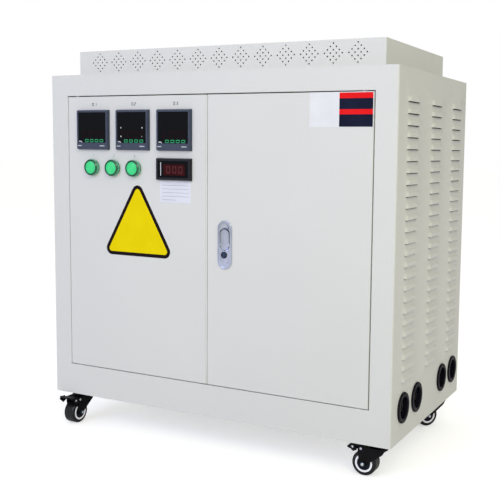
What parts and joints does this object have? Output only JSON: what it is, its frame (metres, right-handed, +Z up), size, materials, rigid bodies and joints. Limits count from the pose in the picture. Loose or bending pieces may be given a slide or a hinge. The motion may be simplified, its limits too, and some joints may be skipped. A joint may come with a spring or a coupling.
{
  "type": "transformer cabinet on castors",
  "caption": "Sheet-metal power transformer cabinet on swivel castors, with double doors, meters, pilot lamps, louvred sides, cable entries and a vent cowl.",
  "frame": {"origin": "on the floor, under the middle of the cabinet's body", "axes": "+Z up, the doors face -Y, the cable entries are in the +X side"},
  "size_m": [0.925, 0.5172, 0.944],
  "materials": {
    "cabinet_paint": "semi-gloss light grey paint",
    "rubber_black": "matt black rubber",
    "meter_case": "blue-grey moulded case with a dark window",
    "strip_meter_case": "black moulded case",
    "lamp_green": "green lens in a moulded collar",
    "latch_chrome": "bright plated casting",
    "castor_black": "black coated steel",
    "tyre_black": "black tread with a pale rim ring",
    "core_steel": "varnished laminated core steel",
    "coil_resin": "wound coil in amber insulation",
    "clamp_paint": "dark painted steel",
    "board_resin": "insulating board with plated studs"
  },
  "bodies": {
    "cabinet": {"front_top_rail": "cabinet_paint", "front_bottom_rail": "cabinet_paint", "front_left_post": "cabinet_paint", "front_right_post": "cabinet_paint", "left_side_panel": "cabinet_paint", "right_side_panel": "cabinet_paint", "rear_panel": "cabinet_paint", "roof_panel": "cabinet_paint", "floor_panel": "cabinet_paint", "cable_entries": "rubber_black", "cowl_hood": "cabinet_paint", "cowl_front_grille": "cabinet_paint", "cowl_rear_grille": "cabinet_paint", "core": "core_steel", "left_coil": "coil_resin", "middle_coil": "coil_resin", "right_coil": "coil_resin", "bottom_clamps": "clamp_paint", "top_clamps": "clamp_paint", "core_rails": "clamp_paint", "base_frame": "cabinet_paint", "terminal_board": "board_resin", "castor_front_left_plate": "castor_black", "castor_front_right_plate": "castor_black", "castor_rear_right_plate": "castor_black", "castor_rear_left_plate": "castor_black"},
    "left_door": {"left_door": "cabinet_paint", "panel_meter_1": "meter_case", "panel_meter_2": "meter_case", "panel_meter_3": "meter_case", "strip_meter": "strip_meter_case", "pilot_lamp_1": "lamp_green", "pilot_lamp_2": "lamp_green", "pilot_lamp_3": "lamp_green"},
    "right_door": {"right_door": "cabinet_paint", "latch_housing": "latch_chrome"},
    "latch_lever": {"latch_lever": "latch_chrome"},
    "castor_front_left_fork": {"castor_front_left_fork": "castor_black"},
    "castor_front_left_wheel": {"castor_front_left_wheel": "tyre_black"},
    "castor_front_left_pedal": {"castor_front_left_pedal": "castor_black"},
    "castor_front_right_fork": {"castor_front_right_fork": "castor_black"},
    "castor_front_right_wheel": {"castor_front_right_wheel": "tyre_black"},
    "castor_front_right_pedal": {"castor_front_right_pedal": "castor_black"},
    "castor_rear_right_fork": {"castor_rear_right_fork": "castor_black"},
    "castor_rear_right_wheel": {"castor_rear_right_wheel": "tyre_black"},
    "castor_rear_left_fork": {"castor_rear_left_fork": "castor_black"},
    "castor_rear_left_wheel": {"castor_rear_left_wheel": "tyre_black"}
  },
  "joints": [
    {"name": "left_door_hinge", "type": "hinge", "parent": "cabinet", "child": "left_door", "pos_m": [-0.3805, -0.242, 0.482], "axis": [0, 0, -1], "range_deg": [0, 110]},
    {"name": "right_door_hinge", "type": "hinge", "parent": "cabinet", "child": "right_door", "pos_m": [0.3805, -0.242, 0.482], "axis": [0, 0, 1], "range_deg": [0, 110]},
    {"name": "latch_lever_lift", "type": "hinge", "parent": "right_door", "child": "latch_lever", "pos_m": [0.049, -0.25, 0.4905], "axis": [1, 0, 0], "range_deg": [0, 40]},
    {"name": "castor_front_left_swivel", "type": "hinge", "parent": "cabinet", "child": "castor_front_left_fork", "pos_m": [-0.4125, -0.202, 0.062], "axis": [0, 0, 1], "continuous": true},
    {"name": "castor_front_left_roll", "type": "hinge", "parent": "castor_front_left_fork", "child": "castor_front_left_wheel", "pos_m": [-0.4125, -0.23, 0.028], "axis": [1, 0, 0], "continuous": true},
    {"name": "castor_front_left_brake", "type": "hinge", "parent": "castor_front_left_fork", "child": "castor_front_left_pedal", "pos_m": [-0.4125, -0.235, 0.062], "axis": [1, 0, 0], "range_deg": [0, 17]},
    {"name": "castor_front_right_swivel", "type": "hinge", "parent": "cabinet", "child": "castor_front_right_fork", "pos_m": [0.4125, -0.202, 0.062], "axis": [0, 0, 1], "continuous": true},
    {"name": "castor_front_right_roll", "type": "hinge", "parent": "castor_front_right_fork", "child": "castor_front_right_wheel", "pos_m": [0.3845, -0.202, 0.028], "axis": [0, -1, 0], "continuous": true},
    {"name": "castor_front_right_brake", "type": "hinge", "parent": "castor_front_right_fork", "child": "castor_front_right_pedal", "pos_m": [0.3795, -0.202, 0.062], "axis": [0, -1, 0], "range_deg": [-17, 0]},
    {"name": "castor_rear_right_swivel", "type": "hinge", "parent": "cabinet", "child": "castor_rear_right_fork", "pos_m": [0.4125, 0.202, 0.062], "axis": [0, 0, 1], "continuous": true},
    {"name": "castor_rear_right_roll", "type": "hinge", "parent": "castor_rear_right_fork", "child": "castor_rear_right_wheel", "pos_m": [0.3945, 0.18055, 0.028], "axis": [0.766, -0.6428, 0], "continuous": true},
    {"name": "castor_rear_left_swivel", "type": "hinge", "parent": "cabinet", "child": "castor_rear_left_fork", "pos_m": [-0.4125, 0.202, 0.062], "axis": [0, 0, 1], "continuous": true},
    {"name": "castor_rear_left_roll", "type": "hinge", "parent": "castor_rear_left_fork", "child": "castor_rear_left_wheel", "pos_m": [-0.3985, 0.17775, 0.028], "axis": [0.866, 0.5, 0], "continuous": true}
  ]
}
